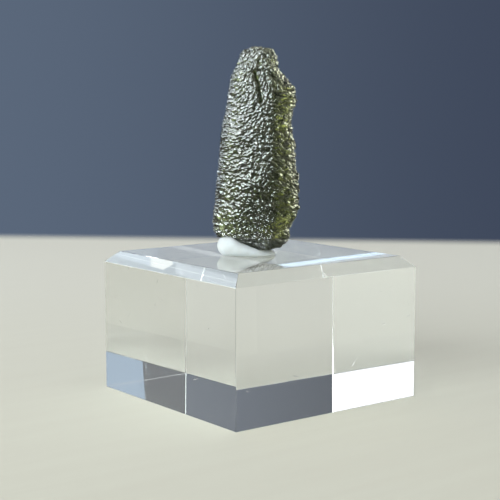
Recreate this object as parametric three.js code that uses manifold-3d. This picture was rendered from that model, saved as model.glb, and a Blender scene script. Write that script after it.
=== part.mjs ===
// A moldavite, a drop of natural green glass, stood up in a lump of white putty on a clear display block.
// Millimetres, +Z up. The origin is the centre of the block's underside, and X and Y run along its sides.
import * as THREE from 'three';
import { mergeVertices } from 'three/addons/utils/BufferGeometryUtils.js';
import Module from 'manifold-3d';

const wasm = await Module();
wasm.setup();

// Display block: a square of cast acrylic with its four top edges bevelled
const BLOCK_SIDE = 40;
const BLOCK_HEIGHT = 25.4;
const BLOCK_BEVEL = 2;

// Moldavite. It is drawn facing -Y and set a little forward, then turned about Z so that its broad face looks at
// a corner of the block.
const STONE_TURN = THREE.MathUtils.degToRad(-37.6);
const FOOT_HEIGHT = 1.15;
const TIP_HEIGHT = 36.8;
const STANDS_FORWARD = 1.5;

// Outlines as [height above the block's top, distance from the upright axis]: x for the first two and the
// crest, which parts the broad face from the narrow right flank, and y for the front and the back
const LEFT_OUTLINE = [
  [FOOT_HEIGHT, 0.1], [1.7, -1.9], [2.65, -5.6], [3.45, -7.4], [5.2, -8.05], [9.7, -7.6], [16.8, -7.0],
  [22.5, -6.45], [28, -5.35], [31, -4.9], [33.6, -3.7], [35.4, -3.1], [36.5, -2.3], [TIP_HEIGHT, -0.7],
];
const RIGHT_OUTLINE = [
  [FOOT_HEIGHT, 2.0], [1.55, 4.0], [2.85, 5.7], [4.85, 6.15], [7.4, 7.4], [12.6, 7.5], [17, 6.9], [20.5, 6.95],
  [23.8, 6.0], [28.1, 7.0], [30.7, 5.85], [32.6, 4.3], [35.2, 3.45], [36.4, 2.6], [TIP_HEIGHT, 0.9],
];
const CREST_LINE = [[FOOT_HEIGHT, 1.2], [4, 2.2], [10, 3.0], [18, 2.4], [27, 2.6], [33, 1.9], [TIP_HEIGHT, 0.2]];
const FRONT_OUTLINE = [
  [FOOT_HEIGHT, -3.9], [1.8, -4.2], [3, -4.4], [6, -4.6], [13, -4.9], [20, -4.7], [27, -4.1], [32, -3.2],
  [35.4, -2.3], [36.5, -1.7], [TIP_HEIGHT, -0.6],
];
const BACK_OUTLINE = [
  [FOOT_HEIGHT, -2.3], [1.8, -0.6], [3, 1.6], [6, 3.7], [14, 4.4], [22, 3.9], [29, 3.3], [34, 2.3],
  [36.4, 1.5], [TIP_HEIGHT, 0.5],
];

// How full each quarter of a cross-section is, as [height, fullness]: 2 is an ellipse, more is boxier and
// less is nearer a flat. The broad face is full above and undercut at the foot.
const FULLNESS = {
  frontLeft: [[FOOT_HEIGHT, 1.6], [3.5, 1.7], [8, 2.5], [TIP_HEIGHT, 2.4]],
  frontRight: [[FOOT_HEIGHT, 1.8], [8, 1.55], [TIP_HEIGHT, 1.5]],
  backLeft: [[FOOT_HEIGHT, 2.2], [TIP_HEIGHT, 2.2]],
  backRight: [[FOOT_HEIGHT, 2.1], [TIP_HEIGHT, 2.1]],
};

// Etched surface: broad lumps, and short sharp-crested wrinkles that sway as they run across the stone.
// Both are fainter on the smooth foot and die out at the very foot and tip.
const LUMP_SPACING = 4.2;
const LUMP_DEPTH = 0.22;
const WRINKLE_LENGTH = 3.2;
const WRINKLE_SPACING = 1.2;
const WRINKLE_DEPTH = 0.34;
const WRINKLE_SHARPNESS = 2.4;
const WRINKLE_SWAY = 0.6;
const SMOOTH_FOOT_TOP = 5.5;
const FOOT_RELIEF = 0.35;
const END_FADE = 1;

// A slit high on the broad face, as [x, height above the block's top] of its two ends
const SLIT_TOP = [-0.7, 32.3];
const SLIT_END = [0.4, 27.0];
const SLIT_WIDTH = 0.6;
const SLIT_DEPTH = 0.8;

// Mesh of the stone
const ROWS = 64;
const COLUMNS = 62;
const ROW_SAMPLES = 400;

// Putty: a ball squeezed out at the left of the stone's foot, with a tail that runs under it to the right.
// Its spine is [x, y, half width, height of its middle, half height] in the stone's own directions.
const PUTTY_SPINE = [
  [-7.25, -1.2, 0.25, 1.75, 0.2], [-6.95, -1.3, 1.1, 1.75, 1.0], [-6.2, -1.5, 1.9, 1.75, 1.8],
  [-5.0, -1.6, 2.4, 1.8, 2.1], [-4.2, -1.7, 2.5, 1.65, 1.95], [-3.4, -1.7, 2.55, 1.35, 1.7],
  [-1.4, -1.6, 2.5, 0.85, 1.4], [0.4, -1.5, 2.2, 0.65, 1.1], [1.9, -1.2, 1.6, 0.55, 0.95],
  [2.7, -0.8, 1.1, 0.45, 0.7], [3.1, -0.7, 0.4, 0.3, 0.3],
];
const PUTTY_STEPS = 22;
const PUTTY_SIDES = 24;
const CONTACT_GAP = 0.05;
const CUT_GAP = 0.3;

const smoothstep = THREE.MathUtils.smoothstep;

// A smooth curve through points whose first number is x: cubic pieces whose slopes come from the neighbours.
// It gives the point's other number, or numbers.
function smoothThrough(points, x) {
  const last = points.length - 1;
  let i = 0;
  while (i < last - 1 && x > points[i + 1][0]) i += 1;
  const [from, to] = [points[i], points[i + 1]];
  const span = to[0] - from[0];
  const t = THREE.MathUtils.clamp((x - from[0]) / span, 0, 1);
  const slope = (n, c) => {
    const [a, b] = [points[Math.max(n - 1, 0)], points[Math.min(n + 1, last)]];
    return (b[c] - a[c]) / (b[0] - a[0]);
  };
  const at = (c) => {
    const start = from[c] * (1 + 2 * t) + slope(i, c) * span * t;
    const end = to[c] * (3 - 2 * t) - slope(i + 1, c) * span * (1 - t);
    return start * (1 - t) ** 2 + end * t ** 2;
  };
  return from.length === 2 ? at(1) : from.slice(1).map((_, n) => at(n + 1));
}

// A repeatable random number from 0 to 1 for each corner of a lattice, in as many layers as are wanted
function hash(i, j, k, layer) {
  const s = Math.sin(i * 127.1 + j * 311.7 + k * 74.7 + layer * 19.3) * 43758.5453;
  return s - Math.floor(s);
}

// Smooth noise from -1 to 1: random numbers on a unit lattice, eased from corner to corner
function noise(x, y, z, layer) {
  const [i, j, k] = [Math.floor(x), Math.floor(y), Math.floor(z)];
  const ease = (t) => t * t * (3 - 2 * t);
  const [a, b, c] = [ease(x - i), ease(y - j), ease(z - k)];
  let total = 0;
  for (const di of [0, 1])
    for (const dj of [0, 1])
      for (const dk of [0, 1]) {
        const weight = (di ? a : 1 - a) * (dj ? b : 1 - b) * (dk ? c : 1 - c);
        total += weight * hash(i + di, j + dj, k + dk, layer);
      }
  return 2 * total - 1;
}

// How far the etched surface stands out from the stone's plain form at a point of it
function relief(p) {
  const [lump, sway] = [0, 1].map((layer) =>
    noise(p.x / LUMP_SPACING, p.y / LUMP_SPACING, p.z / LUMP_SPACING, layer));
  const across = p.z / WRINKLE_SPACING + WRINKLE_SWAY * sway;
  const fold = noise(p.x / WRINKLE_LENGTH, p.y / WRINKLE_LENGTH, across, 2);
  const wrinkle = 1 - WRINKLE_SHARPNESS * Math.abs(fold);
  const risen = smoothstep(p.z, FOOT_HEIGHT, FOOT_HEIGHT + END_FADE);
  const fading = 1 - smoothstep(p.z, TIP_HEIGHT - END_FADE, TIP_HEIGHT);
  const rough = THREE.MathUtils.lerp(FOOT_RELIEF, 1, smoothstep(p.z, FOOT_HEIGHT, SMOOTH_FOOT_TOP));
  return risen * fading * rough * (LUMP_DEPTH * lump + WRINKLE_DEPTH * wrinkle) - slitDepth(p);
}

// How deep the slit cuts at a point: a trough with a rounded bottom along a line on the broad face
function slitDepth(p) {
  if (p.y > 0) return 0;
  const top = new THREE.Vector2(...SLIT_TOP);
  const line = new THREE.Vector2(...SLIT_END).sub(top);
  const from = new THREE.Vector2(p.x, p.z).sub(top);
  const share = THREE.MathUtils.clamp(from.dot(line) / line.lengthSq(), 0, 1);
  const away = from.sub(line.multiplyScalar(share)).length();
  return SLIT_DEPTH * Math.exp(-((away / SLIT_WIDTH) ** 2));
}

// Heights of the stone's rows, evenly spaced along its left outline from foot to tip
function rowHeights() {
  const heights = Array.from({ length: ROW_SAMPLES + 1 }, (_, n) =>
    THREE.MathUtils.lerp(FOOT_HEIGHT, TIP_HEIGHT, n / ROW_SAMPLES));
  const lengths = [0];
  for (let n = 1; n <= ROW_SAMPLES; n += 1) {
    const across = smoothThrough(LEFT_OUTLINE, heights[n]) - smoothThrough(LEFT_OUTLINE, heights[n - 1]);
    lengths.push(lengths[n - 1] + Math.hypot(across, heights[n] - heights[n - 1]));
  }
  return Array.from({ length: ROWS }, (_, row) => {
    const wanted = (lengths[ROW_SAMPLES] * row) / (ROWS - 1);
    return heights[lengths.findIndex((length) => length >= wanted - 1e-9)];
  });
}

// A point of the plain form: four quarters of superellipses about the crest, walked at an even pace
function formPoint(height, angle) {
  const crest = smoothThrough(CREST_LINE, height);
  const [front, back] = [smoothThrough(FRONT_OUTLINE, height), smoothThrough(BACK_OUTLINE, height)];
  const middle = (front + back) / 2;
  const [right, behind] = [Math.cos(angle) > 0, Math.sin(angle) > 0];
  const reach = Math.abs(smoothThrough(right ? RIGHT_OUTLINE : LEFT_OUTLINE, height) - crest);
  const depth = (back - front) / 2;
  const full = smoothThrough(FULLNESS[(behind ? 'back' : 'front') + (right ? 'Right' : 'Left')], height);
  const way = new THREE.Vector2(Math.cos(angle) * Math.sqrt(reach), Math.sin(angle) * Math.sqrt(depth));
  const size = (Math.abs(way.x / reach) ** full + Math.abs(way.y / depth) ** full) ** (-1 / full);
  return new THREE.Vector3(crest + way.x * size, middle + way.y * size, height);
}

// The stone as a closed mesh: rings of points from foot to tip, closed by a flat foot and a blunt tip,
// then pushed out or in by its relief, plus a margin
function stoneGeometry(margin = 0) {
  const points = [];
  for (const height of rowHeights())
    for (let column = 0; column < COLUMNS; column += 1)
      points.push(formPoint(height, (2 * Math.PI * column) / COLUMNS));
  const ringCentre = (row) => points.slice(row * COLUMNS, (row + 1) * COLUMNS)
    .reduce((sum, p) => sum.add(p), new THREE.Vector3()).divideScalar(COLUMNS);
  const [foot, tip] = [points.length, points.length + 1];
  points.push(ringCentre(0), ringCentre(ROWS - 1));

  const faces = [];
  const corner = (row, column) => row * COLUMNS + (column % COLUMNS);
  for (let column = 0; column < COLUMNS; column += 1) {
    faces.push(foot, corner(0, column + 1), corner(0, column));
    faces.push(tip, corner(ROWS - 1, column), corner(ROWS - 1, column + 1));
    for (let row = 0; row < ROWS - 1; row += 1) {
      const [a, b] = [corner(row, column), corner(row, column + 1)];
      const [c, d] = [corner(row + 1, column + 1), corner(row + 1, column)];
      faces.push(...((row + column) % 2 ? [a, b, c, a, c, d] : [a, b, d, b, c, d]));
    }
  }
  const geometry = new THREE.BufferGeometry().setFromPoints(points).setIndex(faces);
  geometry.computeVertexNormals();
  const outward = new THREE.Vector3();
  points.forEach((p, n) => {
    outward.fromBufferAttribute(geometry.getAttribute('normal'), n);
    p.addScaledVector(outward, relief(p) + margin);
  });
  return geometry.setFromPoints(points);
}

// A closed mesh as a solid that can be cut, and back again
function toSolid(geometry) {
  const bare = geometry.clone();
  bare.deleteAttribute('normal');
  bare.deleteAttribute('uv');
  const merged = mergeVertices(bare);
  const vertProperties = new Float32Array(merged.getAttribute('position').array);
  const triVerts = new Uint32Array(merged.getIndex().array);
  return new wasm.Manifold(new wasm.Mesh({ numProp: 3, vertProperties, triVerts }));
}

function toGeometry(solid) {
  const { vertProperties, triVerts } = solid.getMesh();
  const geometry = new THREE.BufferGeometry();
  geometry.setAttribute('position', new THREE.BufferAttribute(vertProperties, 3));
  return geometry.setIndex(new THREE.BufferAttribute(triVerts, 1));
}

// The putty before the stone is pressed into it: oval rings along the spine, flattened where they meet the
// block and closed at both ends
function ballGeometry() {
  const [start, end] = [PUTTY_SPINE[0][0], PUTTY_SPINE[PUTTY_SPINE.length - 1][0]];
  const points = [];
  for (let step = 0; step <= PUTTY_STEPS; step += 1) {
    const x = THREE.MathUtils.lerp(start, end, (1 - Math.cos((Math.PI * step) / PUTTY_STEPS)) / 2);
    const [y, halfWidth, middle, halfHeight] = smoothThrough(PUTTY_SPINE, x);
    for (let side = 0; side < PUTTY_SIDES; side += 1) {
      const angle = (2 * Math.PI * side) / PUTTY_SIDES;
      const height = Math.max(0, middle + halfHeight * Math.sin(angle));
      points.push(new THREE.Vector3(x, y + halfWidth * Math.cos(angle), height));
    }
  }
  const faces = [];
  const corner = (step, side) => step * PUTTY_SIDES + (side % PUTTY_SIDES);
  for (let side = 0; side < PUTTY_SIDES; side += 1) {
    for (let step = 0; step < PUTTY_STEPS; step += 1) {
      const [a, b] = [corner(step, side), corner(step, side + 1)];
      const [c, d] = [corner(step + 1, side + 1), corner(step + 1, side)];
      faces.push(a, b, c, a, c, d);
    }
    if (side > 0 && side < PUTTY_SIDES - 1) {
      faces.push(corner(0, 0), corner(0, side + 1), corner(0, side));
      faces.push(corner(PUTTY_STEPS, 0), corner(PUTTY_STEPS, side), corner(PUTTY_STEPS, side + 1));
    }
  }
  return new THREE.BufferGeometry().setFromPoints(points).setIndex(faces);
}

// The block: a four-sided turned profile, so that one outline gives the sides, the bevels and the top
function blockGeometry() {
  const cornerRadius = BLOCK_SIDE / Math.SQRT2;
  const profile = [
    new THREE.Vector2(0, 0),
    new THREE.Vector2(cornerRadius, 0),
    new THREE.Vector2(cornerRadius, BLOCK_HEIGHT - BLOCK_BEVEL),
    new THREE.Vector2(cornerRadius - BLOCK_BEVEL * Math.SQRT2, BLOCK_HEIGHT),
    new THREE.Vector2(0, BLOCK_HEIGHT),
  ];
  return new THREE.LatheGeometry(profile, 4, Math.PI / 4).rotateX(Math.PI / 2);
}

const stoneMaterial = new THREE.MeshStandardMaterial({ color: 0x3a4220, roughness: 0.25, metalness: 0 });
const puttyMaterial = new THREE.MeshStandardMaterial({ color: 0xe9eef0, roughness: 0.55, metalness: 0 });
const blockMaterial = new THREE.MeshStandardMaterial({
  color: 0xeef2f2, roughness: 0.05, metalness: 0, transparent: true, opacity: 0.3,
});

const block = new THREE.Mesh(blockGeometry(), blockMaterial);
block.name = 'display_block';

const stone = new THREE.Mesh(stoneGeometry(), stoneMaterial);
stone.name = 'moldavite';
stone.position.y = -STANDS_FORWARD;

const pressed = toSolid(ballGeometry()).subtract(toSolid(stoneGeometry(CUT_GAP)));
const putty = new THREE.Mesh(toGeometry(pressed), puttyMaterial);
putty.name = 'mounting_putty';
putty.position.set(0, -STANDS_FORWARD, CONTACT_GAP);

const standing = new THREE.Group();
standing.rotation.z = STONE_TURN;
standing.position.z = BLOCK_HEIGHT;
standing.add(stone, putty);

const model = new THREE.Group();
model.add(block, standing);

export default model;
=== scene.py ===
# %% [markdown]
# # A moldavite on a clear block
# A moldavite is a drop of green glass that fell from the sky and was etched in the ground for millions of
# years. This one stands in a lump of white putty on a polished acrylic block. The lesson builds all three
# pieces as number grids with numpy, gives each a finish made of nodes, and lights them with soft boxes. The
# frame gives the three pieces as plain solids at their real size, and every surface below keeps close to
# them.

# %% Load the frame
import itertools
import math

import bpy
import numpy as np
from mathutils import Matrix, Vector


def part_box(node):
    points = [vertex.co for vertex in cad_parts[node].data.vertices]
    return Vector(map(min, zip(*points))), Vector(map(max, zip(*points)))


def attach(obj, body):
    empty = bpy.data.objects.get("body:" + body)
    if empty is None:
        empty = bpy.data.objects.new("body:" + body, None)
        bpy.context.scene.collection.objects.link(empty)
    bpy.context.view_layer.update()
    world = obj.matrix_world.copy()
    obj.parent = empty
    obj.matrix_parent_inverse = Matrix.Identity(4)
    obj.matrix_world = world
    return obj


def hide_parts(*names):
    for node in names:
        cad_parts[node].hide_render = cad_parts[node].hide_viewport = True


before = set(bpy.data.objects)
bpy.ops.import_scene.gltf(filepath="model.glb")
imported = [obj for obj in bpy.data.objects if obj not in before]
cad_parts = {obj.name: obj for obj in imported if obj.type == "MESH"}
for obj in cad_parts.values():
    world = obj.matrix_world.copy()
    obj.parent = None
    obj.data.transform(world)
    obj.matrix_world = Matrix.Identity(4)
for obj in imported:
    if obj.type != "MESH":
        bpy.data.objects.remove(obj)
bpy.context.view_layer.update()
MM = 0.001
print("nodes:", ", ".join(sorted(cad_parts)))

# %% [markdown]
# ## The camera
# The block's own corners in the photograph give the view: a long lens, a little above the block, looking at
# the corner between its front and its left side. The camera stands still, level from side to side and without
# shift, so the same camera also works from every other side.

# %% Set up the camera
VIEW_TURN = math.radians(-37.57)
VIEW_DOWN = math.radians(7.25)
VIEW_FROM = (-138.7 * MM, -178.0 * MM, 54.7 * MM)
FOCAL_PIXELS = 1262.5
PHOTO_PIXELS = 500

camera = bpy.data.objects.new("camera", bpy.data.cameras.new("camera"))
bpy.context.scene.collection.objects.link(camera)
camera.data.lens = camera.data.sensor_width * FOCAL_PIXELS / PHOTO_PIXELS
camera.location = VIEW_FROM
camera.rotation_euler = (math.pi / 2 - VIEW_DOWN, 0, VIEW_TURN)
bpy.context.scene.camera = camera
print(f"camera lens: {camera.data.lens:.1f} mm")

# %% [markdown]
# ## Closed surfaces from grids
# Each piece here is a stack of closed rings. A grid of points with one row for each ring is all that is
# needed: neighbouring rows and columns give the four-sided faces, the last column joins the first, and a fan
# of triangles to a middle point closes each end. Working on whole arrays keeps a hundred thousand points
# quick.


# %% Turn a grid of rings into a mesh
def closed_surface(name, rings, smooth=True):
    """An object from rings of points, shape (rows, columns, 3) in metres. Each ring runs counter-clockwise
    as seen from the last ring's end, and each end is closed by a fan to the mean of its ring."""
    rows, columns, _ = rings.shape
    corner = np.arange(rows * columns).reshape(rows, columns)
    beside = np.roll(corner, -1, axis=1)
    walls = np.stack([corner[:-1], beside[:-1], beside[1:], corner[1:]], axis=-1).reshape(-1, 4)
    low, high = rows * columns, rows * columns + 1
    floor = np.stack([np.full(columns, low), beside[0], corner[0]], axis=-1)
    roof = np.stack([np.full(columns, high), corner[-1], beside[-1]], axis=-1)
    points = np.concatenate([rings.reshape(-1, 3), [rings[0].mean(axis=0), rings[-1].mean(axis=0)]])

    mesh = bpy.data.meshes.new(name)
    mesh.from_pydata(points, [], walls.tolist() + floor.tolist() + roof.tolist())
    mesh.polygons.foreach_set("use_smooth", np.full(len(mesh.polygons), smooth))
    piece = bpy.data.objects.new(name, mesh)
    bpy.context.scene.collection.objects.link(piece)
    print(f"{name}: {len(mesh.vertices)} points, {2 * len(walls) + len(floor) + len(roof)} triangles")
    return piece


# %% [markdown]
# ## Curves and noise
# Two kinds of numbers shape a natural stone. Its outline is drawn as a few given points with a smooth curve
# through them. Its etched skin is random but repeatable: noise on a lattice of unit cubes, where a sine of
# large numbers serves as the dice, gives the same stone on every run.


# %% Curves through a few points
def smooth_through(points, x):
    """Cubic pieces through (x, y) points, whose slope at each point is that between its two neighbours."""
    across, value = np.array(points, float).T
    last = len(across) - 1
    before, after = np.maximum(np.arange(last + 1) - 1, 0), np.minimum(np.arange(last + 1) + 1, last)
    slope = (value[after] - value[before]) / (across[after] - across[before])
    i = np.clip(np.searchsorted(across, x) - 1, 0, last - 1)
    span = across[i + 1] - across[i]
    t = np.clip((x - across[i]) / span, 0, 1)
    start = value[i] * (1 + 2 * t) + slope[i] * span * t
    end = value[i + 1] * (3 - 2 * t) - slope[i + 1] * span * (1 - t)
    return start * (1 - t) ** 2 + end * t**2


def smoothstep(x, low, high):
    """0 below low, 1 above high, and an S-shaped rise of 3t^2 - 2t^3 between them."""
    t = np.clip((x - low) / (high - low), 0, 1)
    return t * t * (3 - 2 * t)


# %% Dice for a lattice of cubes
DICE_WAVES, DICE_LAYER_STEP, DICE_SPIN = (127.1, 311.7, 74.7), 19.3, 43758.5453


def dice(cube, layer):
    """A random number from 0 to 1 for each lattice cube: the fraction left by a sine of large numbers."""
    i, j, k = np.moveaxis(cube * DICE_WAVES, -1, 0)
    s = np.sin(i + j + k + layer * DICE_LAYER_STEP) * DICE_SPIN
    return s - np.floor(s)


def three_dice(cube, layer):
    """Three random numbers for each lattice cube, from three layers that follow each other."""
    return np.stack([dice(cube, layer + n) for n in range(3)], axis=-1)


# %% Repeatable noise
def cube_corners(points):
    """The eight corners of each point's cube, one at a time, with their shares, which are eased products."""
    cube = np.floor(points)
    ease = smoothstep(points - cube, 0, 1)
    for corner in itertools.product((0, 1), repeat=3):
        yield cube + corner, np.where(corner, ease, 1 - ease).prod(axis=-1)


def soft_noise(points, layer):
    """Smooth noise from -1 to 1: the dice at a cube's eight corners, eased from corner to corner."""
    return 2 * sum(share * dice(corner, layer) for corner, share in cube_corners(points)) - 1


def sloped_noise(points, layer):
    """Noise about zero: each corner has a random slope, and the slopes' planes are eased together."""
    total = 0
    for corner, share in cube_corners(points):
        slope = 2 * three_dice(corner, layer) - 1
        total = total + share * (slope * (points - corner)).sum(axis=-1)
    return total


def scattered_cells(points, layer):
    """One scattered seed to a cube: distances to the nearest and second seed, the way from the nearest, and
    its own three random numbers."""
    home = np.floor(points)
    nearest, second = np.full((2, *points.shape[:-1]), np.inf)
    way, lots = np.zeros_like(points), np.zeros_like(points)
    for step in itertools.product((-1, 0, 1), repeat=3):
        cube = home + step
        seed = three_dice(cube, layer)
        apart = points - cube - seed
        distance = np.linalg.norm(apart, axis=-1)
        closer = distance < nearest
        second = np.where(closer, nearest, np.minimum(second, distance))
        nearest = np.where(closer, distance, nearest)
        way[closer], lots[closer] = apart[closer], seed[closer]
    return nearest, second, way, lots


# %% [markdown]
# ## The stone's form
# The real stone is a flattened drop that narrows upward, with a broad face turned to the window and a narrow
# flank on the right, parted by a blunt crest. A loft says that best: five curves give the left, right, front
# and back outlines and the crest at each height, and each cross-section is four quarters of superellipses,
# full on the broad face and nearly flat on the flank. Heights count from the block's top, in millimetres, and
# x and y are the stone's own, before it is turned to face the camera.

# %% Outlines of the stone
STONE_TURN = math.radians(-37.6)
STANDS_FORWARD = 1.5
FOOT, TIP = 1.15, 36.8
LEFT_OUTLINE = [
    (FOOT, 0.1), (1.7, -1.9), (2.65, -5.6), (3.45, -7.4), (5.2, -8.05), (9.7, -7.6), (16.8, -7.0),
    (22.5, -6.45), (28, -5.35), (31, -4.9), (33.6, -3.7), (35.4, -3.1), (36.5, -2.3), (TIP, -0.7),
]
RIGHT_OUTLINE = [
    (FOOT, 2.0), (1.55, 4.0), (2.85, 5.7), (4.85, 6.15), (7.4, 7.4), (12.6, 7.5), (17, 6.9), (20.5, 6.95),
    (23.8, 6.0), (28.1, 7.0), (30.7, 5.85), (32.6, 4.3), (35.2, 3.45), (36.4, 2.6), (TIP, 0.9),
]
CREST_LINE = [(FOOT, 1.2), (4, 2.2), (10, 3.0), (18, 2.4), (27, 2.6), (33, 1.9), (TIP, 0.2)]
FRONT_OUTLINE = [
    (FOOT, -3.9), (1.8, -4.2), (3, -4.4), (6, -4.6), (13, -4.9), (20, -4.7), (27, -4.1), (32, -3.2),
    (35.5, -2.4), (36.5, -2.0), (TIP, -1.2),
]
BACK_OUTLINE = [
    (FOOT, -2.3), (1.8, -0.6), (3, 1.6), (6, 3.7), (14, 4.4), (22, 3.9), (29, 3.3), (34, 2.3),
    (36.4, 1.5), (TIP, 0.5),
]
FRONT_LEFT_FULLNESS = [(FOOT, 1.6), (3.5, 1.7), (8, 2.5), (TIP, 2.4)]
FRONT_RIGHT_FULLNESS = [(FOOT, 1.8), (8, 1.55), (TIP, 1.5)]
BACK_LEFT_FULLNESS, BACK_RIGHT_FULLNESS = 2.2, 2.1


# %% Cross-sections of the stone
def section_at(height, right, behind):
    """Centre, half sizes and fullness of one quarter of the cross-section at each height. The crest parts
    left from right, and the line halfway between front and back parts those two."""
    crest = smooth_through(CREST_LINE, height)
    front, back = smooth_through(FRONT_OUTLINE, height), smooth_through(BACK_OUTLINE, height)
    reach = np.where(right, smooth_through(RIGHT_OUTLINE, height) - crest,
                     crest - smooth_through(LEFT_OUTLINE, height))
    ahead = np.where(right, smooth_through(FRONT_RIGHT_FULLNESS, height),
                     smooth_through(FRONT_LEFT_FULLNESS, height))
    full = np.where(behind, np.where(right, BACK_RIGHT_FULLNESS, BACK_LEFT_FULLNESS), ahead)
    return crest, (front + back) / 2, reach, (back - front) / 2, full


def stone_form(height, angle):
    """Points of the plain form. A quarter is |x / reach|^n + |y / depth|^n = 1, and weighing the two
    directions by the roots of reach and depth walks round it at an even pace."""
    crest, middle, reach, depth, full = section_at(height, np.cos(angle) > 0, np.sin(angle) > 0)
    x, y = np.cos(angle) * np.sqrt(reach), np.sin(angle) * np.sqrt(depth)
    size = (np.abs(x / reach) ** full + np.abs(y / depth) ** full) ** (-1 / full)
    return np.stack([crest + x * size, middle + y * size, height + 0 * angle], axis=-1)


# %% The plain form as a grid
# Rows keep an even pace along the left outline, which runs nearly level at the tip and at the foot. At the
# foot only a share of its sideways way counts, and the broad face has more columns than the back.
ROWS, FRONT_COLUMNS, BACK_COLUMNS = 320, 194, 110
OUTLINE_SAMPLES, FOOT_SHARE, TIP_START = 2000, 0.35, 34

samples = np.linspace(FOOT, TIP, OUTLINE_SAMPLES)
sideways = np.where(samples[1:] > TIP_START, 1, FOOT_SHARE) * np.diff(smooth_through(LEFT_OUTLINE, samples))
walked = np.concatenate([[0], np.cumsum(np.hypot(sideways, np.diff(samples)))])
row_heights = np.interp(np.linspace(0, walked[-1], ROWS), walked, samples)[:, None]
back_angles = np.linspace(0, np.pi, BACK_COLUMNS, endpoint=False)
front_angles = np.linspace(np.pi, 2 * np.pi, FRONT_COLUMNS, endpoint=False)
form = stone_form(row_heights, np.concatenate([back_angles, front_angles])[None, :])
print("stone's plain form, mm:", form.min(axis=(0, 1)).round(1), form.max(axis=(0, 1)).round(1))

# %% [markdown]
# ## The etched skin
# Acid soils dissolved the glass into short wrinkles and scales, most of them under a millimetre high, with
# sharp dark grooves between them. A bump map could hint at them, but the wrinkles break the outline and catch
# the window one by one, so they are real geometry: broad lumps, then folds that run across the stone, then
# two sizes of scales, each tilted its own way so that some flash white while the next one stays dark. Low on
# the stone the rows of scales fall to the right, and near the tip they fall to both sides. The flank has
# longer scales and is cut by furrows, and the worn foot has a lower relief.

# %% Folds and furrows
FOLD_LENGTH, FOLD_SPACING, FOLD_DEPTH = 2.2, 1.4, 0.08
FOLD_SHARPNESS, BAND_SWAY = 2.4, 0.6
FURROW_LENGTH, FURROW_SPACING, FURROW_WIDTH, FURROW_DEPTH = 2.8, 0.9, 0.5, 0.28
FURROWS_FROM, FURROWS_FULL = 2, 5
LUMP_LAYER, SWAY_LAYER, FOLD_LAYER, FURROW_LAYER = 0, 1, 2, 3


def bands(p, length, spacing, sway, layer):
    """Noise stretched into bands across the stone, which sway up and down along their way."""
    spot = p / (length, length, spacing)
    spot[..., 2] += BAND_SWAY * sway
    return soft_noise(spot, layer)


def folds(p, sway):
    """Sharp ridges across the stone, 1 - c|noise|."""
    return 1 - FOLD_SHARPNESS * np.abs(bands(p, FOLD_LENGTH, FOLD_SPACING, sway, FOLD_LAYER))


def furrows(p, sway):
    """Cuts across the flank, from 0 to 1: deepest where the noise of their bands is zero, and none on the
    broad face."""
    away = np.abs(bands(p, FURROW_LENGTH, FURROW_SPACING, sway, FURROW_LAYER))
    return smoothstep(p[..., 0], FURROWS_FROM, FURROWS_FULL) * (1 - smoothstep(away, 0, FURROW_WIDTH))


# %% Scales in leaning rows
SCALE_LENGTH, SCALE_REACH, SCALE_HEIGHT = 0.78, 1.8, 0.66
SCALE_DOME, SCALE_TILT, GROOVE_DEPTH, GROOVE_WIDTH = 0.14, 0.15, 0.14, 0.27
SCALE_SWAY, SCALE_WARP, WARP_PITCH, WARP_LAYERS = 0.8, 0.5, 0.9, (10, 13, 16)
LEAN_MIDDLE, LEAN_LOW, LEAN_HIGH = 1, 0.42, 0.28
LEAN_TURNS_FROM, LEAN_TURNS_TO = 9, 29
FLANK_START, FLANK_STRETCH = 2.5, 0.5


def along_rows(p):
    """Coordinates in which the rows of scales are level. Low down, z is raised by a slope times x, and near
    the tip by a hyperbola about a middle line. On the flank x is shrunk, so the scales there are longer."""
    aside = p[..., 0] - LEAN_MIDDLE
    upper = smoothstep(p[..., 2], LEAN_TURNS_FROM, LEAN_TURNS_TO)
    rows = p.copy()
    rows[..., 2] += (1 - upper) * LEAN_LOW * aside + upper * LEAN_HIGH * (np.hypot(aside, 1) - 1)
    rows[..., 0] -= FLANK_STRETCH * np.maximum(p[..., 0] - FLANK_START, 0)
    return rows


def scales(rows, sway, layer):
    """Domes -r^2 about scattered seeds, each tilted its own way, with a groove where two of them meet: their
    height, and how far each point lies in a groove, from 0 to 1."""
    spot = rows / (SCALE_LENGTH, SCALE_REACH, SCALE_HEIGHT)
    spot[..., 2] += SCALE_SWAY * sway
    bend = np.stack([sloped_noise(WARP_PITCH * spot, layer + n) for n in WARP_LAYERS], axis=-1)
    nearest, second, way, lots = scattered_cells(spot + SCALE_WARP * bend, layer)
    raised = smoothstep(second - nearest, 0, GROOVE_WIDTH)
    lean = ((lots - 0.5) * way).sum(axis=-1)
    return -SCALE_DOME * nearest**2 + SCALE_TILT * raised * lean + GROOVE_DEPTH * (raised - 1), 1 - raised


# %% Relief of the whole skin
LUMP_SPACING, LUMP_DEPTH = 4.2, 0.22
SCALE_SIZES, SCALE_DEPTHS, SCALE_LAYERS = (1.0, 0.55), (1.0, 0.35), (30, 40)
SMOOTH_FOOT_TOP, FOOT_RELIEF, END_FADE = 5.5, 0.8, 1.0


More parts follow.
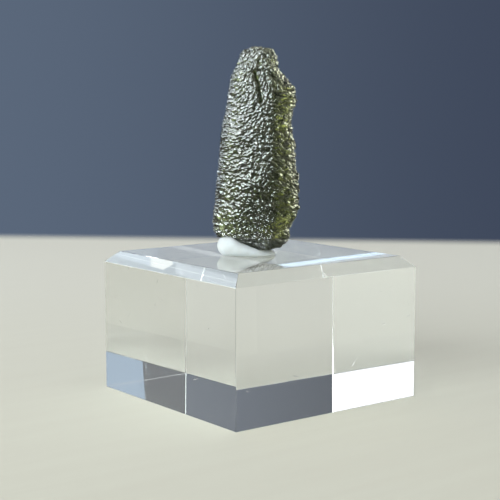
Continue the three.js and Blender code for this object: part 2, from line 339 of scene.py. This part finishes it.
def skin_relief(p):
    """Height of the skin over the form: lumps and folds, which fade at both ends, plus two sizes of scales,
    less the furrows, all of it lower at the foot. The second result says how far each point lies in a groove
    or a furrow, from 0 to 1."""
    lump, sway = (soft_noise(p / LUMP_SPACING, layer) for layer in (LUMP_LAYER, SWAY_LAYER))
    rows, furrow = along_rows(p), furrows(p, sway)
    scaly, groove = sum(
        depth * np.stack(scales(rows / size, sway, layer))
        for size, depth, layer in zip(SCALE_SIZES, SCALE_DEPTHS, SCALE_LAYERS)
    )
    rough = FOOT_RELIEF + (1 - FOOT_RELIEF) * smoothstep(p[..., 2], FOOT, SMOOTH_FOOT_TOP)
    ends = smoothstep(p[..., 2], FOOT, FOOT + END_FADE) * smoothstep(-p[..., 2], -TIP, END_FADE - TIP)
    broad = ends * (LUMP_DEPTH * lump + FOLD_DEPTH * folds(p, sway))
    return rough * (broad + scaly - FURROW_DEPTH * furrow), np.minimum(np.maximum(groove, furrow), 1)


# %% A slit and a few pits on the broad face
SLIT = [(-0.7, 32.3), (0.05, 29.9), (0.46, 27.2)]
SLIT_WIDTH, SLIT_DEPTH = 0.2, 0.9
PITS = [(-1.9, 36.1, 0.45, 0.5), (0.1, 33.7, 0.3, 0.4), (-4.3, 30.8, 0.4, 0.4), (-5.6, 6.4, 0.4, 0.35)]


def face_cuts(p):
    """Depth of the slit, a trough round a bent line, and of the pits, each exp(-(distance / width)^2)."""
    spot = p[..., [0, 2]]
    away = np.full(spot.shape[:-1], np.inf)
    for top, end in itertools.pairwise(np.array(SLIT)):
        share = np.clip(((spot - top) @ (end - top)) / ((end - top) @ (end - top)), 0, 1)
        away = np.minimum(away, np.linalg.norm(spot - top - share[..., None] * (end - top), axis=-1))
    depth = SLIT_DEPTH * np.exp(-((away / SLIT_WIDTH) ** 2))
    for x, height, width, deep in PITS:
        depth = depth + deep * np.exp(-(((spot - (x, height)) / width) ** 2).sum(axis=-1))
    return np.where(p[..., 1] < 0, depth, 0)


# %% Make the stone
BLOCK_LOW, BLOCK_HIGH = (np.array(corner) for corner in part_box("display_block"))
BLACK_FROM_DEPTH = SLIT_DEPTH / 2
AT_END_POINTS = [0, 0]


def stand_on_block(points):
    """From the stone's own millimetres to the frame's metres: moved forward, turned about z, and raised to
    the block's top."""
    x, y, z = np.moveaxis(points - (0, STANDS_FORWARD, 0), -1, 0)
    cos, sin = math.cos(STONE_TURN), math.sin(STONE_TURN)
    return np.stack([x * cos - y * sin, x * sin + y * cos, z], axis=-1) * MM + (0, 0, BLOCK_HIGH[2])


around = np.roll(form, -1, axis=1) - np.roll(form, 1, axis=1)
outward = np.cross(around, np.gradient(form, axis=0))
outward /= np.linalg.norm(outward, axis=-1, keepdims=True)
relief, groove = skin_relief(form)
cut = face_cuts(form)
print(f"relief: {relief.min():.2f} to {relief.max():.2f} mm, cuts: {cut.max():.2f} mm deep")
stone = closed_surface("moldavite_stone", stand_on_block(form + outward * (relief - cut)[..., None]))
# The groove and slit attributes carry painted shade: they darken the glass's colour in grooves, furrows, slit
# and pits.
for name, share in (("groove", groove), ("slit", np.clip(cut / BLACK_FROM_DEPTH, 0, 1))):
    values = stone.data.attributes.new(name, "FLOAT", "POINT")
    values.data.foreach_set("value", np.append(share, AT_END_POINTS))

# %% [markdown]
# ## The putty
# The putty is a ball that the stone's foot squeezed out to the left, where it bulges up in front of the
# stone's lower edge, with a tail that runs out thin under the foot. Oval rings along a spine make it. Where
# the stone sits, the putty's top can be no higher than the stone's underside, which is found by asking at
# which height the stone's cross-section first covers a spot.

# %% Room under the stone
UNDERSIDE_TOP, UNDERSIDE_STEPS = 2 * SMOOTH_FOOT_TOP, 120


def stone_underside(x, y):
    """The lowest height at which the stone's plain form covers each spot, or infinity where it never does."""
    height = np.linspace(FOOT, UNDERSIDE_TOP, UNDERSIDE_STEPS).reshape(-1, *[1] * x.ndim)
    crest = smooth_through(CREST_LINE, height)
    middle = (smooth_through(FRONT_OUTLINE, height) + smooth_through(BACK_OUTLINE, height)) / 2
    _, _, reach, depth, full = section_at(height, x > crest, y > middle)
    covered = np.abs((x - crest) / reach) ** full + np.abs((y - middle) / depth) ** full < 1
    return np.where(covered, height, np.inf).min(axis=0)


# %% Make the putty
# Each point of the spine gives x, y, half width, middle height and half height.
PUTTY_SPINE = np.array([
    (-7.25, -1.2, 0.25, 1.75, 0.2), (-6.95, -1.3, 1.1, 1.75, 1.0), (-6.2, -1.5, 1.9, 1.75, 1.8),
    (-5.0, -1.6, 2.4, 1.8, 2.1), (-4.2, -1.7, 2.5, 1.65, 1.95), (-3.4, -1.7, 2.55, 1.35, 1.7),
    (-1.4, -1.6, 2.5, 0.85, 1.4), (0.4, -1.5, 2.2, 0.6, 1.0), (1.9, -1.2, 1.6, 0.4, 0.65),
    (2.7, -0.8, 1.1, 0.25, 0.4), (3.1, -0.7, 0.4, 0.15, 0.15),
])
PUTTY_RINGS, PUTTY_SIDES = 120, 96
PUTTY_GAP = 0.05
DENT_SPACING, DENT_DEPTH, DENT_LAYER = 1.6, 0.05, 60

spread = (1 - np.cos(np.linspace(0, np.pi, PUTTY_RINGS))) / 2
spine_x = PUTTY_SPINE[0, 0] + spread * (PUTTY_SPINE[-1, 0] - PUTTY_SPINE[0, 0])
spine_y, half_width, spine_z, half_height = (
    smooth_through(PUTTY_SPINE[:, [0, n]], spine_x)[:, None] for n in range(1, 5)
)
turn = np.linspace(0, 2 * np.pi, PUTTY_SIDES, endpoint=False)[None, :]
ball = np.stack(
    [spine_x[:, None] + 0 * turn, spine_y + half_width * np.cos(turn), spine_z + half_height * np.sin(turn)],
    axis=-1,
)
ball[..., 1:] += DENT_DEPTH * soft_noise(ball / DENT_SPACING, DENT_LAYER)[..., None]
ball[..., 2] = np.minimum(ball[..., 2], stone_underside(ball[..., 0], ball[..., 1]) - PUTTY_GAP)
ball[..., 2] = np.maximum(ball[..., 2], 0) + PUTTY_GAP
putty = closed_surface("white_putty", stand_on_block(ball))

# %% [markdown]
# ## The block
# The block is a square of cast acrylic with its top edges bevelled at about 45 degrees. It takes three rings
# of four corners: the bottom, the top of the sides, and the top inside the bevels. Real polished edges are
# never perfectly sharp, so a Bevel modifier rounds them by a twentieth of a millimetre, which draws the
# bright edge lines. The far upright edge is rounded more, because it shows through the block as a pale line.

# %% Make the block
BEVEL_INSET, BEVEL_DROP = 2.05 * MM, 1.95 * MM
half = (BLOCK_HIGH - BLOCK_LOW)[:2] / 2
corners = np.array([(-1, -1), (1, -1), (1, 1), (-1, 1)])
levels = [(0, BLOCK_LOW[2]), (0, BLOCK_HIGH[2] - BEVEL_DROP), (BEVEL_INSET, BLOCK_HIGH[2])]
block_rings = np.stack([
    np.column_stack([corners * (half - inset), np.full(len(corners), z)]) for inset, z in levels
])
block = closed_surface("acrylic_block", block_rings, smooth=False)

# %% Round the block's edges
EDGE_ROUND, BACK_EDGE_ROUND = 0.05 * MM, 0.14 * MM
BACK_CORNER = 2

ends = np.empty(2 * len(block.data.edges), int)
block.data.edges.foreach_get("vertices", ends)
ends = ends.reshape(-1, 2)
on_rings = (ends < len(levels) * len(corners)).all(axis=1)
back_upright = np.isin(ends, (BACK_CORNER, BACK_CORNER + len(corners))).all(axis=1)
weights = block.data.attributes.new("bevel_weight_edge", "FLOAT", "EDGE")
weights.data.foreach_set("value", np.where(back_upright, 1, on_rings * EDGE_ROUND / BACK_EDGE_ROUND))
rounding = block.modifiers.new("polished_edges", "BEVEL")
rounding.width = BACK_EDGE_ROUND
rounding.segments = 2
rounding.limit_method = "WEIGHT"
print(f"edges rounded: {on_rings.sum()}, of them more than the rest: {back_upright.sum()}")

# %% [markdown]
# ## Shader maths as Python
# A finish is a small program made of nodes. Wiring nodes by hand hides that, so one class stands for a value
# in the node tree and takes Python's own operators, and one method makes every other node from its type, its
# settings and its inputs. The finishes below then read like formulas.


# %% A value in a node tree, and the tree itself
class Value:
    """A node's output that can be added, subtracted and multiplied, each time by a new Math node."""

    def __init__(self, nodes, socket):
        self.nodes, self.socket = nodes, socket

    def maths(self, operation, first, second):
        return self.nodes.add("ShaderNodeMath", {"operation": operation}, {0: first, 1: second})

    def __add__(self, other):
        return self.maths("ADD", self, other)

    def __sub__(self, other):
        return self.maths("SUBTRACT", self, other)

    def __rsub__(self, other):
        return self.maths("SUBTRACT", other, self)

    def __mul__(self, other):
        return self.maths("MULTIPLY", self, other)

    __radd__, __rmul__ = __add__, __mul__


class Nodes:
    """The node tree of a material or a world, emptied and ready to be filled."""

    def __init__(self, owner):
        owner.use_nodes = True
        self.tree = owner.node_tree
        self.tree.nodes.clear()

    def add(self, kind, settings=None, inputs=None, output=0):
        """Makes a node: its settings first, then a link or a plain value for each input named or numbered."""
        node = self.tree.nodes.new(kind)
        for name, setting in (settings or {}).items():
            setattr(node, name, setting)
        for name, given in (inputs or {}).items():
            if isinstance(given, Value):
                self.tree.links.new(given.socket, node.inputs[name])
            else:
                node.inputs[name].default_value = given
        return Value(self, node.outputs[output] if node.outputs else None)

    def place(self):
        """The piece's own coordinates in metres."""
        return self.add("ShaderNodeTexCoord", output="Object")

    def millimetres(self, stretch=(1, 1, 1)):
        """The piece's own coordinates in millimetres, divided along x, y and z by a stretch."""
        scale = [1 / MM / s for s in stretch]
        return self.add("ShaderNodeMapping", inputs={"Vector": self.place(), "Scale": scale})

    def along(self, vector, direction):
        """How far a vector goes in a direction, by their dot product."""
        settings, inputs = {"operation": "DOT_PRODUCT"}, {0: vector, 1: direction}
        return self.add("ShaderNodeVectorMath", settings, inputs, output="Value")

    def noise(self, vector, scale, detail=2.0):
        """Blender's noise from 0 to 1, with so many waves to a unit."""
        return self.add("ShaderNodeTexNoise", inputs={"Vector": vector, "Scale": scale, "Detail": detail})

    def rise(self, value, low, high):
        """0 where the value is under low, 1 over high, smooth between."""
        settings = {"interpolation_type": "SMOOTHSTEP"}
        return self.add("ShaderNodeMapRange", settings, {"Value": value, "From Min": low, "From Max": high})

    def blend(self, share, first, second):
        """One colour fading into another."""
        inputs = {0: share, 6: first, 7: second}
        return self.add("ShaderNodeMix", {"data_type": "RGBA"}, inputs, output=2)

    def bump(self, height, depth, strength=1.0):
        """A normal that leans as if the surface had this height, from 0 to 1, times a depth in metres."""
        inputs = {"Height": height, "Distance": depth, "Strength": strength}
        return self.add("ShaderNodeBump", inputs=inputs)

    def absorb(self, colour, density):
        """A clear inside that eats light: each metre leaves exp(-density * (1 - colour)) of it."""
        return self.add("ShaderNodeVolumeAbsorption", inputs={"Color": colour, "Density": density})


# %% [markdown]
# ## Moldavite glass
# The stone is glass all through: clear where it is thin, olive where light has crossed a few millimetres, and
# nearly black across its full thickness. So most of its colour is not painted on. Plain transmission and an
# absorption that eats blue first and green last give most of it. Only the grooves and furrows, the slit and
# the pits are darker, by attributes that were worked out with the relief: that darkening is painted shade,
# with some fine clay in the grooves. The skin's gloss varies a little: grains of etched glass finer than the
# mesh break the highlights, and the worn foot is duller.

# %% Finish of the stone
GLASS_IOR = 1.49
OLIVE, OLIVE_DENSITY = (0.633, 0.667, 0.40, 1), 600.0
# Darker colours for grooves, furrows, slit and pits: painted shade, with some clay in the grooves.
CLEAN, CLAY_AND_SHADE, SHADOW = (1, 1, 1, 1), (0.09, 0.09, 0.06, 1), (0.01, 0.01, 0.006, 1)
GRAIN_SPACING, GRAIN_STRETCH, GRAIN_DEPTH, GRAIN_STRENGTH = 0.28, (1.4, 1.4, 1), 0.03 * MM, 0.6
GLOSS, GRAIN_DULLNESS, WORN_DULLNESS = 0.05, 0.06, 0.28
FULLY_WORN_TOP = 1.5


def moldavite_glass():
    """Clear olive glass with etched grains, a worn foot, and painted shade in its cuts and clayey grooves."""
    material = bpy.data.materials.new("moldavite_glass")
    nodes = Nodes(material)
    grain = nodes.noise(nodes.millimetres(GRAIN_STRETCH), 1 / GRAIN_SPACING)
    height = nodes.add("ShaderNodeSeparateXYZ", inputs={0: nodes.millimetres()}, output="Z")
    block_top = BLOCK_HIGH[2] / MM
    worn = 1 - nodes.rise(height, block_top + FULLY_WORN_TOP, block_top + SMOOTH_FOOT_TOP)
    groove = nodes.add("ShaderNodeAttribute", {"attribute_name": "groove"}, output="Fac")
    slit = nodes.add("ShaderNodeAttribute", {"attribute_name": "slit"}, output="Fac")
    surface = nodes.add("ShaderNodeBsdfPrincipled", inputs={
        "Base Color": nodes.blend(slit, nodes.blend(groove, CLEAN, CLAY_AND_SHADE), SHADOW),
        "Roughness": GLOSS + GRAIN_DULLNESS * grain + WORN_DULLNESS * worn,
        "IOR": GLASS_IOR,
        "Transmission Weight": 1.0,
        "Normal": nodes.bump(grain, GRAIN_DEPTH, GRAIN_STRENGTH),
    })
    inside = nodes.absorb(OLIVE, OLIVE_DENSITY)
    nodes.add("ShaderNodeOutputMaterial", inputs={"Surface": surface, "Volume": inside})
    return material


stone.data.materials.append(moldavite_glass())
print("finish:", stone.data.materials[0].name)

# %% [markdown]
# ## White putty
# Reusable putty is a soft white rubber with chalk in it. Light sinks a little way in, so it has no hard
# shading, which subsurface scattering gives. Fingers leave it satin-smooth, with faint prints and with clouds
# that are a little greyer.

# %% Finish of the putty
PUTTY_WHITE, PUTTY_SHADE = (0.53, 0.56, 0.57, 1), (0.50, 0.52, 0.52, 1)
CLOUD_PITCH, CLOUD_DETAIL, CLOUD_START, CLOUD_END = 0.6, 3.0, 0.35, 0.7
PRINT_PITCH, PRINT_STRETCH, PRINT_DEPTH, PRINT_STRENGTH = 3.0, (0.3, 1, 1), 0.04 * MM, 0.4
SATIN, CLOUD_DULLNESS = 0.38, 0.2


def putty_white():
    """Soft satin white with greyer clouds and faint finger prints."""
    material = bpy.data.materials.new("white_putty")
    nodes = Nodes(material)
    cloud = nodes.noise(nodes.millimetres(), CLOUD_PITCH, CLOUD_DETAIL)
    print_lines = nodes.noise(nodes.millimetres(PRINT_STRETCH), PRINT_PITCH)
    surface = nodes.add("ShaderNodeBsdfPrincipled", inputs={
        "Base Color": nodes.blend(nodes.rise(cloud, CLOUD_START, CLOUD_END), PUTTY_WHITE, PUTTY_SHADE),
        "Roughness": SATIN + CLOUD_DULLNESS * cloud,
        "Specular IOR Level": 0.1,
        "Subsurface Weight": 1.0,
        "Subsurface Radius": (1.0, 0.95, 0.9),
        "Subsurface Scale": 3 * MM,
        "Normal": nodes.bump(print_lines, PRINT_DEPTH, PRINT_STRENGTH),
    })
    nodes.add("ShaderNodeOutputMaterial", inputs={"Surface": surface})
    return material


putty.data.materials.append(putty_white())
print("finish:", putty.data.materials[0].name)

# %% [markdown]
# ## Clear acrylic
# Acrylic is as clear as window glass and bends light a little less. What shows that the block is a real one
# is its surface: fine hairline scratches that were wiped into it every way. Noise stretched into thin sheets,
# cut down to its peaks, makes short scratches, and turned copies of it cross each other. The far upright edge
# is frosted, which keeps its line pale through the clear block.

# %% Finish of the block
ACRYLIC_IOR = 1.49
ACRYLIC_TINT, ACRYLIC_DENSITY = (0.80, 0.95, 0.90, 1), 1.5
SCRATCH_TURNS = ((0.3, 0.5, 0.9), (1.1, 2.2, 0.4), (2.3, 0.8, 1.9))
SCRATCH_SIZE, SCRATCH_DEPTH = (0.4 * MM, 4 * MM, 4 * MM), 0.005 * MM
SCRATCH_START, SCRATCH_FULL = 0.83, 0.88
SCRATCH_DULLNESS, FROST_DULLNESS = 0.25, 0.6
BACKWARD, FROST_START = (1, 1, 0), half.sum() - BACK_EDGE_ROUND


def clear_acrylic():
    """Clear plastic with hairline scratches and one frosted edge."""
    material = bpy.data.materials.new("clear_acrylic")
    nodes = Nodes(material)
    place = nodes.place()
    scratches = 0.0
    for turn in SCRATCH_TURNS:
        sheets = nodes.add("ShaderNodeMapping", {"vector_type": "TEXTURE"}, {
            "Vector": place, "Rotation": turn, "Scale": SCRATCH_SIZE,
        })
        scratches = nodes.rise(nodes.noise(sheets, 1.0, 0.0), SCRATCH_START, SCRATCH_FULL) + scratches
    frosted = nodes.rise(nodes.along(place, BACKWARD), FROST_START, FROST_START + EDGE_ROUND)
    surface = nodes.add("ShaderNodeBsdfPrincipled", inputs={
        "Base Color": (1, 1, 1, 1),
        "Roughness": SCRATCH_DULLNESS * scratches + FROST_DULLNESS * frosted,
        "IOR": ACRYLIC_IOR,
        "Transmission Weight": 1.0,
        "Normal": nodes.bump(scratches, SCRATCH_DEPTH),
    })
    inside = nodes.absorb(ACRYLIC_TINT, ACRYLIC_DENSITY)
    nodes.add("ShaderNodeOutputMaterial", inputs={"Surface": surface, "Volume": inside})
    return material


block.data.materials.append(clear_acrylic())
print("finish:", block.data.materials[0].name)

# %% [markdown]
# ## The stage
# Clear things show what is around them, so the stage matters more than usual. A pale round floor, matt with
# only a trace of varnish, ends a quarter of a metre behind the block. Its far edge fades by Alpha, because
# the camera's depth of field is off and a hard edge would show. A quiet blue-grey world stands behind it,
# lighter on the left, and turns into a bright ceiling overhead.

# %% Pale floor
FLOOR_RADIUS, FLOOR_FAR_EDGE, FLOOR_DROP, RIM_POINTS = 0.60, 0.33, 0.05 * MM, 128
FLOOR_COLOUR, FLOOR_SHADE = (0.57, 0.555, 0.47, 1), (0.53, 0.505, 0.425, 1)
# The floor's colour grows lighter away from the camera: painted light.
FLOOR_FAR_PAINTED_LIGHT, FAR_START, FAR_FULL = (0.65, 0.63, 0.56, 1), -0.12, 0.2
STREAK_STRETCH, STREAK_DETAIL = (40, 4, 40), 4.0
FLOOR_EDGE_TURN, FADE_START, FADE_END = math.radians(-6.05), 0.221, 0.2475

look = np.array([-math.sin(VIEW_TURN), math.cos(VIEW_TURN)])
floor_middle = look * (FLOOR_FAR_EDGE - FLOOR_RADIUS)
rim = np.linspace(0, 2 * np.pi, RIM_POINTS, endpoint=False)
rim_points = floor_middle + FLOOR_RADIUS * np.column_stack([np.cos(rim), np.sin(rim)])
floor_points = np.column_stack([rim_points, np.full(RIM_POINTS, -FLOOR_DROP)])
floor_mesh = bpy.data.meshes.new("pale_floor")
floor_mesh.from_pydata(floor_points, [], [list(range(RIM_POINTS))])
pale_floor = bpy.data.objects.new("pale_floor", floor_mesh)
bpy.context.scene.collection.objects.link(pale_floor)


def floor_finish():
    """Pale streaks, lighter away from the camera as painted light, and an edge that fades to nothing."""
    material = bpy.data.materials.new("pale_floor")
    nodes = Nodes(material)
    streaks = nodes.noise(nodes.millimetres(STREAK_STRETCH), 1.0, STREAK_DETAIL)
    edge_turn = math.pi / 2 + VIEW_TURN + FLOOR_EDGE_TURN
    away = nodes.along(nodes.place(), (look[0], look[1], 0))
    edgeward = nodes.along(nodes.place(), (math.cos(edge_turn), math.sin(edge_turn), 0))
    streaked = nodes.blend(streaks, FLOOR_COLOUR, FLOOR_SHADE)
    surface = nodes.add("ShaderNodeBsdfPrincipled", inputs={
        "Base Color": nodes.blend(nodes.rise(away, FAR_START, FAR_FULL), streaked, FLOOR_FAR_PAINTED_LIGHT),
        "Roughness": 0.8,
        "Specular IOR Level": 0.01,
        "Alpha": 1 - nodes.rise(edgeward, FADE_START, FADE_END),
    })
    nodes.add("ShaderNodeOutputMaterial", inputs={"Surface": surface})
    return material


floor_mesh.materials.append(floor_finish())
print(f"floor: {FLOOR_RADIUS:.2f} m in radius")

# %% Blue-grey world
NAVY_DARK, NAVY_LIGHT, NAVY_SIDES = (0.050, 0.066, 0.105, 1), (0.105, 0.140, 0.200, 1), (-0.25, 0.25)
HIGH_DARK, HIGH_LIGHT, HIGH_SIDES = (0.03, 0.035, 0.045, 1), (0.20, 0.225, 0.27, 1), (-0.25, 0.15)
ROOM, CEILING = (0.165, 0.175, 0.19, 1), (0.85, 0.88, 0.90, 1)
HIGH_RISE, CEILING_RISE, AHEAD = (0.08, 0.24), (0.3, 0.7), (0.0, 0.6)

world = bpy.data.worlds.new("blue_grey")
bpy.context.scene.world = world
sky = Nodes(world)
direction = sky.add("ShaderNodeTexCoord", output="Generated")
upward = sky.add("ShaderNodeSeparateXYZ", inputs={0: direction}, output="Z")
ahead = sky.along(direction, (look[0], look[1], 0))
leftward = sky.along(direction, (-look[1], look[0], 0))
wall = sky.blend(sky.rise(leftward, *NAVY_SIDES), NAVY_DARK, NAVY_LIGHT)
high = sky.blend(sky.rise(leftward, *HIGH_SIDES), HIGH_DARK, HIGH_LIGHT)
wall = sky.blend(sky.rise(upward, *HIGH_RISE), wall, high)
tone = sky.blend(sky.rise(ahead, *AHEAD), ROOM, wall)
tone = sky.blend(sky.rise(upward, *CEILING_RISE), tone, CEILING)
background = sky.add("ShaderNodeBackground", inputs={"Color": tone, "Strength": 1.0})
sky.add("ShaderNodeOutputWorld", inputs={"Surface": background})
print(f"world: {len(sky.tree.nodes)} nodes")

# %% [markdown]
# ## Soft boxes
# A large soft box on the left stands for a window. What a polished skin mirrors and what shines through the
# glass come from different sides, so most of the other panels are shown to one kind of ray only: a sheen is
# seen in reflections alone, and a glow only through clear pieces. Each can then be set for the one thing that
# it does, and leaves the floor alone.

# %% Light panels
AIM = Vector((0, 0, 35 * MM))
BOX_DISTANCE = 0.9
ALL_RAYS, SHEEN, GLOW = ("diffuse", "glossy", "transmission"), ("glossy",), ("transmission",)


def soft_box(name, bearing, rise, width, height, radiance, colour, seen_by=ALL_RAYS):
    """A light panel round the object. Its middle's bearing from +x, its rise above the floor and its two
    sizes as seen from the object are all in degrees, and its power is radiance times pi times its area."""
    bearing, rise = math.radians(bearing), math.radians(rise)
    towards = Vector((math.cos(bearing) * math.cos(rise), math.sin(bearing) * math.cos(rise), math.sin(rise)))
    data = bpy.data.lights.new(name, "AREA")
    data.shape = "RECTANGLE"
    data.size = 2 * BOX_DISTANCE * math.cos(rise) * math.tan(math.radians(width / 2))
    data.size_y = 2 * BOX_DISTANCE * math.tan(math.radians(height / 2))
    data.energy = radiance * math.pi * data.size * data.size_y
    data.color = colour
    panel = bpy.data.objects.new(name, data)
    panel.location = AIM + towards * BOX_DISTANCE
    panel.rotation_euler = towards.to_track_quat("Z", "Y").to_euler()
    panel.visible_camera = False
    panel.visible_diffuse = "diffuse" in seen_by
    panel.visible_glossy = "glossy" in seen_by
    panel.visible_transmission = "transmission" in seen_by
    bpy.context.scene.collection.objects.link(panel)
    print(f"{name}: {data.energy:.1f} W")


soft_box("window", 193, 20, 61, 28, 7.5, (0.92, 0.99, 1.0))
soft_box("window_sheen", 192, 36, 66, 66, 14, (0.88, 1.0, 1.02), SHEEN)
soft_box("edge_sheen", 125, 25, 66, 40, 6.0, (0.82, 0.94, 1.0), SHEEN)
soft_box("flank_sheen", 354, 18, 40, 26, 9.5, (0.97, 1.0, 0.8), SHEEN)
soft_box("top_sheen", 52, 9, 40, 10, 0.5, (0.84, 0.91, 1.0), SHEEN)
soft_box("bright_wall", 134.5, 17, 15, 26, 1.2, (0.94, 0.98, 1.0))
soft_box("fill_right", 288, 13, 32, 24, 0.43, (0.54, 0.76, 1.0))
soft_box("glow_left", 77, 21, 28, 26, 3.4, (1.0, 0.97, 0.75), GLOW)
soft_box("glow_right", 18, 20, 34, 29, 2.8, (0.86, 0.97, 0.95), GLOW)
soft_box("bevel_gleam", 125.1, 7.5, 1.3, 6, 0.35, (1.0, 0.88, 0.6), GLOW)
soft_box("sky_strip", 153, 44, 24, 14, 2.1, (0.45, 0.73, 1.0), GLOW)

# %% [markdown]
# ## Hand over to the frame
# Each new piece stands for its plain solid and rides on the one rigid body. Light has to cross many surfaces
# of glass and acrylic, so it may bounce often.

# %% Tie the pieces to the frame
LIGHT_BOUNCES = 32

for piece, node, slot in (
    (stone, "moldavite", "moldavite_glass"),
    (putty, "mounting_putty", "white_putty"),
    (block, "display_block", "clear_acrylic"),
):
    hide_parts(node)
    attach(piece, "root")

bpy.context.scene.view_settings.view_transform = "Standard"
bpy.context.scene.cycles.max_bounces = LIGHT_BOUNCES
bpy.context.scene.cycles.transmission_bounces = LIGHT_BOUNCES
